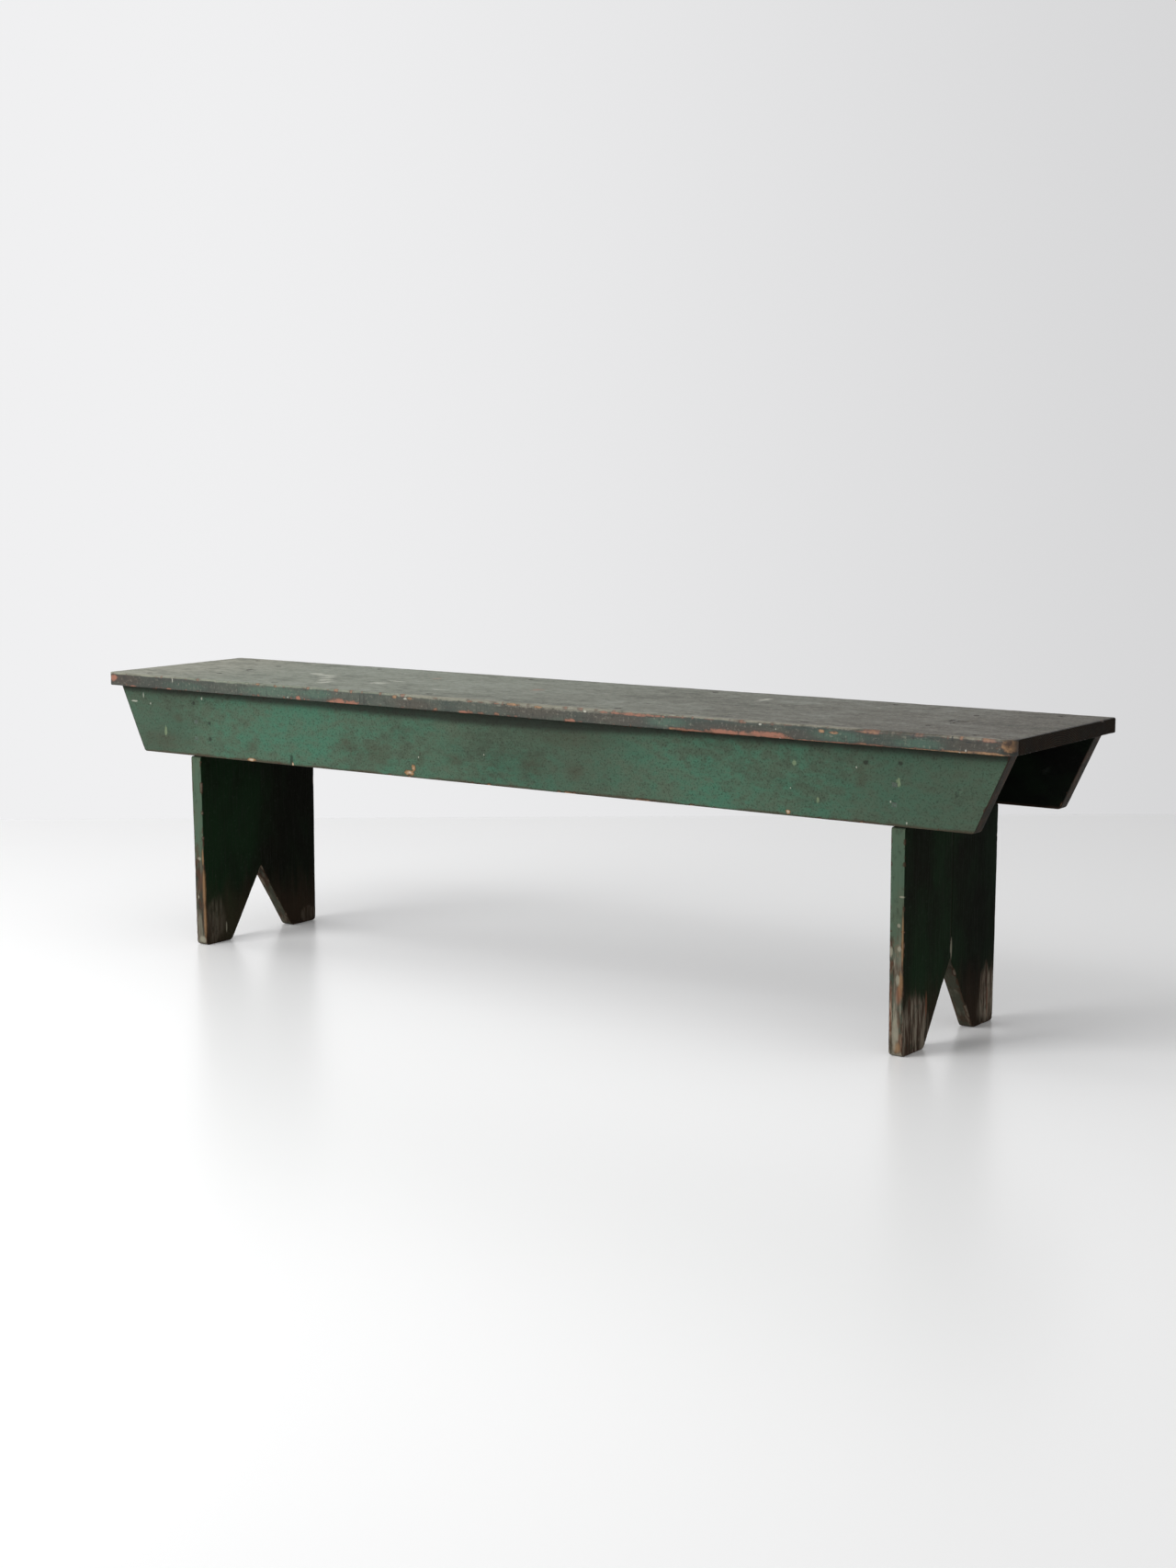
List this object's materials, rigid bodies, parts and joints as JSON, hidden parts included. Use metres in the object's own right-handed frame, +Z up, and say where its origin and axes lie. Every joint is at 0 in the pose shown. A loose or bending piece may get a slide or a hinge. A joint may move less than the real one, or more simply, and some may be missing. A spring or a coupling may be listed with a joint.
{
  "type": "bench",
  "caption": "Long painted plank bench: a nailed seat board on two raked aprons and two board legs with V-cut feet.",
  "frame": {"origin": "on the floor, below the middle of the seat", "axes": "+X along the seat, +Y to the back, +Z up"},
  "size_m": [1.66, 0.322, 0.45],
  "materials": {
    "painted_seat_wood": "worn green-grey milk paint",
    "painted_apron_wood": "worn dark green milk paint",
    "painted_leg_wood": "worn dark green milk paint, bare at the feet",
    "nail_iron": "dull rusted iron"
  },
  "bodies": {
    "root": {"seat_board": "painted_seat_wood", "front_apron": "painted_apron_wood", "back_apron": "painted_apron_wood", "left_leg": "painted_leg_wood", "right_leg": "painted_leg_wood", "seat_nails_front": "nail_iron", "seat_nails_back": "nail_iron", "seat_nails_left_leg": "nail_iron", "seat_nails_right_leg": "nail_iron", "front_apron_nails_left": "nail_iron", "front_apron_nails_right": "nail_iron", "back_apron_nails_left": "nail_iron", "back_apron_nails_right": "nail_iron"}
  },
  "joints": []
}
